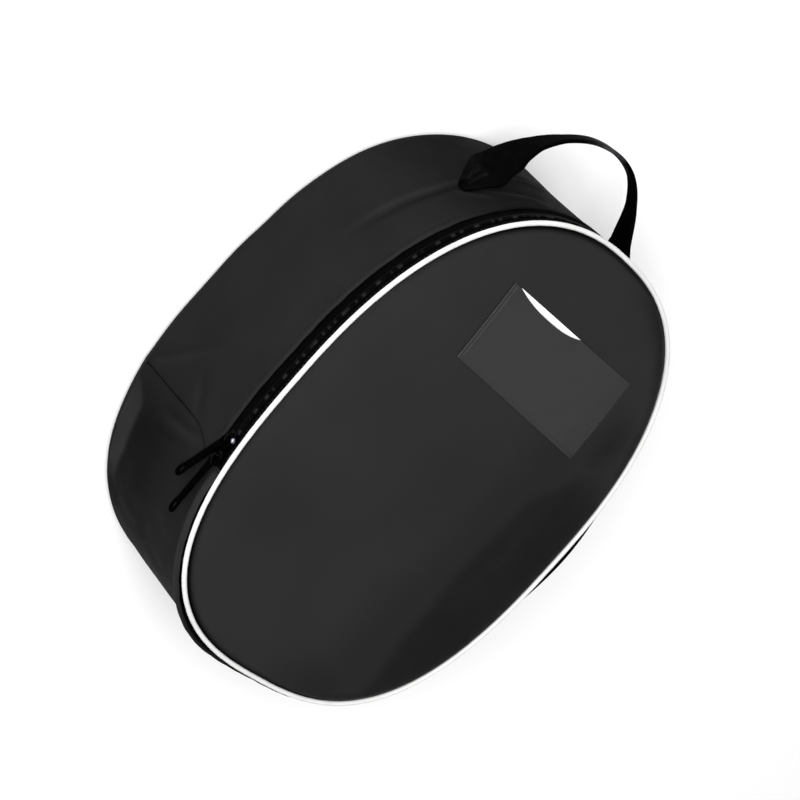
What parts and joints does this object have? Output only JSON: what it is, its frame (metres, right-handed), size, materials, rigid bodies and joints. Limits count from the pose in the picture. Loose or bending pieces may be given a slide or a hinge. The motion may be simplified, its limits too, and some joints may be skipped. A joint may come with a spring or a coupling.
{
  "type": "fencing mask bag",
  "caption": "Soft oval zipped case with a domed front panel, white piping, a clear card pocket and a webbing carry handle, lying on its flat back; it holds a sports mask.",
  "frame": {"origin": "middle of the back panel's flat outer face, on which the bag lies", "axes": "+Z out of the front panel, +Y towards the handle, +X to the right as the front is seen"},
  "size_m": [0.3339, 0.469, 0.1622],
  "materials": {
    "cloth": "charcoal coated polyester, fine plain weave",
    "piping": "white vinyl piping",
    "zip_tape": "black woven tape",
    "zip_coil": "black nylon coil",
    "zip_metal": "black lacquered die casting",
    "webbing": "black ribbed webbing",
    "vinyl": "smoky clear vinyl over the cloth",
    "card": "blank white card"
  },
  "bodies": {
    "bag": {"front_panel": "cloth", "back_panel": "cloth", "gusset_upper": "cloth", "gusset_lower": "cloth", "piping": "piping", "zip_tape_front": "zip_tape", "zip_tape_rear": "zip_tape", "zip_coil": "zip_coil", "slider_upper": "zip_metal", "slider_lower": "zip_metal", "handle": "webbing", "card_window": "vinyl", "name_card": "card"},
    "upper_pull": {"pull_upper": "zip_metal"},
    "lower_pull": {"pull_lower": "zip_metal"}
  },
  "joints": [
    {"name": "upper_pull_hinge", "type": "hinge", "parent": "bag", "child": "upper_pull", "pos_m": [-0.16121, -0.06792, 0.1335], "axis": [-0.0589, 0.4812, -0.8746], "range_deg": [0, 140]},
    {"name": "lower_pull_hinge", "type": "hinge", "parent": "bag", "child": "lower_pull", "pos_m": [-0.15886, -0.08424, 0.1335], "axis": [-0.0387, 0.2129, -0.9763], "range_deg": [0, 140]}
  ]
}
